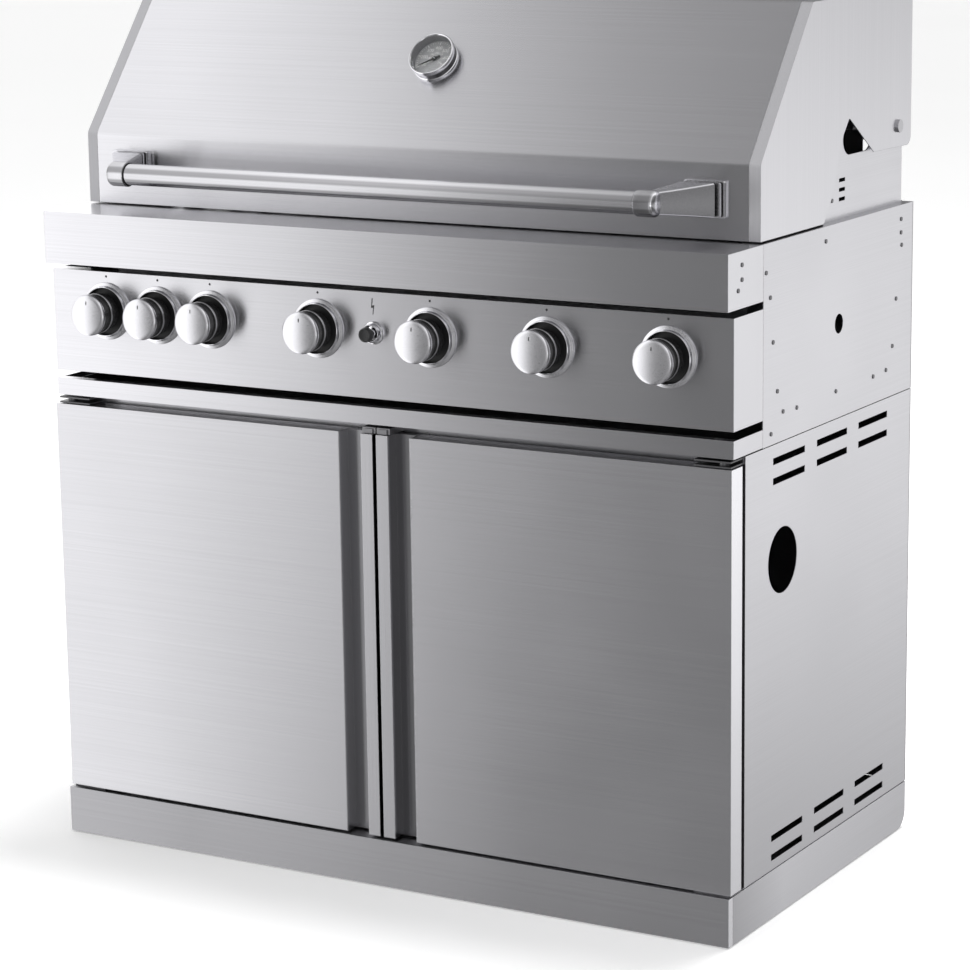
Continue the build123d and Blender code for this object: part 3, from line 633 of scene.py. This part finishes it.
def figure(text, right, up, size):
    """A number of the dial as flat faces."""
    curve = bpy.data.curves.new("figure", "FONT")
    curve.body = text
    curve.size = size
    curve.align_x = "CENTER"
    curve.align_y = "CENTER"
    holder = bpy.data.objects.new("figure", curve)
    mesh = bpy.data.meshes.new_from_object(holder)
    verts = [on_dial(right + point.co.x, up + point.co.y) for point in mesh.vertices]
    faces = [tuple(face.vertices) for face in mesh.polygons]
    bpy.data.objects.remove(holder)
    bpy.data.meshes.remove(mesh)
    return verts, faces, [0] * len(faces)


# The scale starts at this angle from the top, in degrees. Every fifth line is long and has an outer and an
# inner number.
SCALE_START, TICK_ANGLE, TICKS = -120, 8, 31
TICK_RADIUS = 28.4
marks = []
for step in range(TICKS):
    angle = math.radians(SCALE_START + TICK_ANGLE * step)
    major = step % 5 == 0
    marks.append(tick(angle, 24 if major else 25.6, TICK_RADIUS, 0.7 if major else 0.3))
for step in range(0, TICKS, 5):
    angle = math.radians(SCALE_START + TICK_ANGLE * step)
    number = 1 + step // 5
    for unit, radius, size in ((100, 18.6, 7.4), (50, 10.4, 4)):
        marks.append(figure(str(unit * number), radius * math.sin(angle), radius * math.cos(angle), size))
verts, faces, looks = join(marks)
piece("dial_marks", "lid", verts, faces, [DIAL_MARK], looks)
LENS_PROFILE = [(0, 16.2, 0), (30.4, 16.2, 0), (30.4, 17.2, 0), (20, 17.6, 0), (0, 17.8, 0)]
lathe("thermometer_lens", "lid", LENS_PROFILE, GAUGE, SLANT_OUT, [LENS])


# ---------------------------------------------------------------- stage, camera and light

# Brightness of the surroundings by the x component of a direction, low and high up, and how the right side's
# brightness varies with the z component. PEAK is above every value of the bands.
PEAK = 2.5
LOW_BAND = [
    (-1, 1.0), (-0.66, 1.75), (-0.61, 1.75), (-0.585, 1.65), (-0.5585, 1.35), (-0.529, 0.75),
    (-0.4987, 0.30), (-0.466, 0.17), (-0.43, 0.15), (-0.3, 0.2), (0.1, 0.5), (0.385, 1.05), (0.43, 1.6),
    (0.6, 1.7), (0.76, 0.4), (1, 0.3),
]
HIGH_BAND = [
    (-1, 1.2), (-0.61, 1.35), (-0.585, 1.55), (-0.5585, 1.4), (-0.529, 1.05), (-0.4987, 0.65),
    (-0.466, 0.45), (-0.43, 0.36), (-0.2, 0.4), (0.1, 0.6), (0.385, 1.0), (0.6, 1.45), (0.76, 0.5),
    (1, 0.4),
]
RIGHT_HEIGHT = [
    (-1, 0.2), (-0.42, 0.28), (-0.30, 0.42), (-0.22, 1), (-0.12, 1), (-0.04, 0.62), (0.1, 0.55), (0.4, 0.8),
    (1, 0.9),
]


def studio():
    """Soft surroundings that vary from left to right and with height, as between large diffusers."""
    world = bpy.data.worlds.new("studio")
    bpy.context.scene.world = world
    world.use_nodes = True
    tree = world.node_tree
    tree.nodes.clear()
    out = tree.nodes.new("ShaderNodeOutputWorld")
    back = tree.nodes.new("ShaderNodeBackground")
    coords = tree.nodes.new("ShaderNodeTexCoord")
    split = tree.nodes.new("ShaderNodeSeparateXYZ")
    tree.links.new(coords.outputs["Generated"], split.inputs["Vector"])

    def along(axis, low, high, smooth=False):
        """How far a direction lies between two values of one of its components."""
        span = tree.nodes.new("ShaderNodeMapRange")
        span.inputs["From Min"].default_value = low
        span.inputs["From Max"].default_value = high
        if smooth:
            span.interpolation_type = "SMOOTHSTEP"
        tree.links.new(split.outputs[axis], span.inputs["Value"])
        return span.outputs["Result"]

    def ramp(source, stops):
        """Brightness by a component that runs from -1 to 1, as a share of PEAK."""
        made = ramp_node(tree, [((at + 1) / 2, value / PEAK) for at, value in stops])
        tree.links.new(source, made.inputs["Fac"])
        return made.outputs["Color"]

    def mixed(kind, factor, first, second):
        """Two colours blended, where None stands for white."""
        made = tree.nodes.new("ShaderNodeMixRGB")
        made.blend_type = kind
        if isinstance(factor, (int, float)):
            made.inputs["Fac"].default_value = factor
        else:
            tree.links.new(factor, made.inputs["Fac"])
        tree.links.new(first, made.inputs[1])
        if second is None:
            made.inputs[2].default_value = (1, 1, 1, 1)
        else:
            tree.links.new(second, made.inputs[2])
        return made.outputs["Color"]

    across = along("X", -1, 1)
    height = along("Z", -1, 1)
    low = ramp(across, LOW_BAND)
    high = ramp(across, HIGH_BAND)
    bands = mixed("MIX", along("Z", 0.2, 0.5, True), low, high)
    fall = ramp_node(tree, [((at + 1) / 2, value) for at, value in RIGHT_HEIGHT])
    tree.links.new(height, fall.inputs["Fac"])
    left_side = along("X", 0.2, 0.0, True)
    fall_right = mixed("MIX", left_side, fall.outputs["Color"], None)
    tree.links.new(mixed("MULTIPLY", 1, bands, fall_right), back.inputs["Color"])
    back.inputs["Strength"].default_value = PEAK
    tree.links.new(back.outputs["Background"], out.inputs["Surface"])


def area_light(name, position, target, size, power):
    """A round light that isn't mirrored in the steel."""
    data = bpy.data.lights.new(name, "AREA")
    data.shape = "DISK"
    data.size = size
    data.energy = power
    made = bpy.data.objects.new(name, data)
    bpy.context.scene.collection.objects.link(made)
    made.location = position
    made.rotation_euler = (Vector(target) - Vector(position)).to_track_quat("-Z", "Y").to_euler()
    made.visible_glossy = False


# The camera's place, its yaw, pitch and roll in degrees, and its focal length and sensor width in mm.
CAMERA_AT = (2.3003, -3.9195, 1.4909)
CAMERA_TURN = (30.23, -12.02, -0.79)
FOCAL_LENGTH, SENSOR_WIDTH = 119.639, 36


def camera():
    """A long lens, from the front right and a little above the hood."""
    yaw, pitch, roll = (math.radians(angle) for angle in CAMERA_TURN)
    ahead = Vector((-math.sin(yaw) * math.cos(pitch), math.cos(yaw) * math.cos(pitch), math.sin(pitch)))
    right = Vector((math.cos(yaw), math.sin(yaw), 0))
    up = right.cross(ahead)
    tilted = math.cos(roll) * right + math.sin(roll) * up
    risen = -math.sin(roll) * right + math.cos(roll) * up
    data = bpy.data.cameras.new("camera")
    data.sensor_width = SENSOR_WIDTH
    data.lens = FOCAL_LENGTH
    data.clip_end = 200
    made = bpy.data.objects.new("camera", data)
    bpy.context.scene.collection.objects.link(made)
    turn = Matrix((tilted, risen, -ahead)).transposed().to_4x4()
    made.matrix_world = Matrix.Translation(CAMERA_AT) @ turn
    bpy.context.scene.camera = made


def floor():
    """A wide pale floor that shines a little, and that the steel doesn't mirror."""
    count, reach = 48, 60.0
    turns = [2 * math.pi * step / count for step in range(count)]
    verts = [(0, 0, 0)] + [(reach * math.cos(turn), reach * math.sin(turn), 0) for turn in turns]
    faces = [(0, 1 + step, 1 + (step + 1) % count) for step in range(count)]
    mesh = bpy.data.meshes.new("floor")
    mesh.from_pydata(verts, [], faces)
    made = bpy.data.objects.new("floor", mesh)
    bpy.context.scene.collection.objects.link(made)
    look = Shader("floor_paint")
    paint = look.noise(0.8, detail=2.0)
    look.tint(paint, (0.86, 0.86, 0.86), (0.88, 0.88, 0.88))
    look.rough(paint, 0.8, 0.9)
    look.bsdf.inputs["Emission Color"].default_value = (1, 1, 1, 1)
    look.bsdf.inputs["Emission Strength"].default_value = 0.28
    mesh.materials.append(look.material)
    made.visible_glossy = False


studio()
camera()
floor()
area_light("top_light", position=(0.3, 0.8, 5.0), target=(0, 0, 0.3), size=1.6, power=240)
bpy.context.scene.view_settings.view_transform = "Standard"
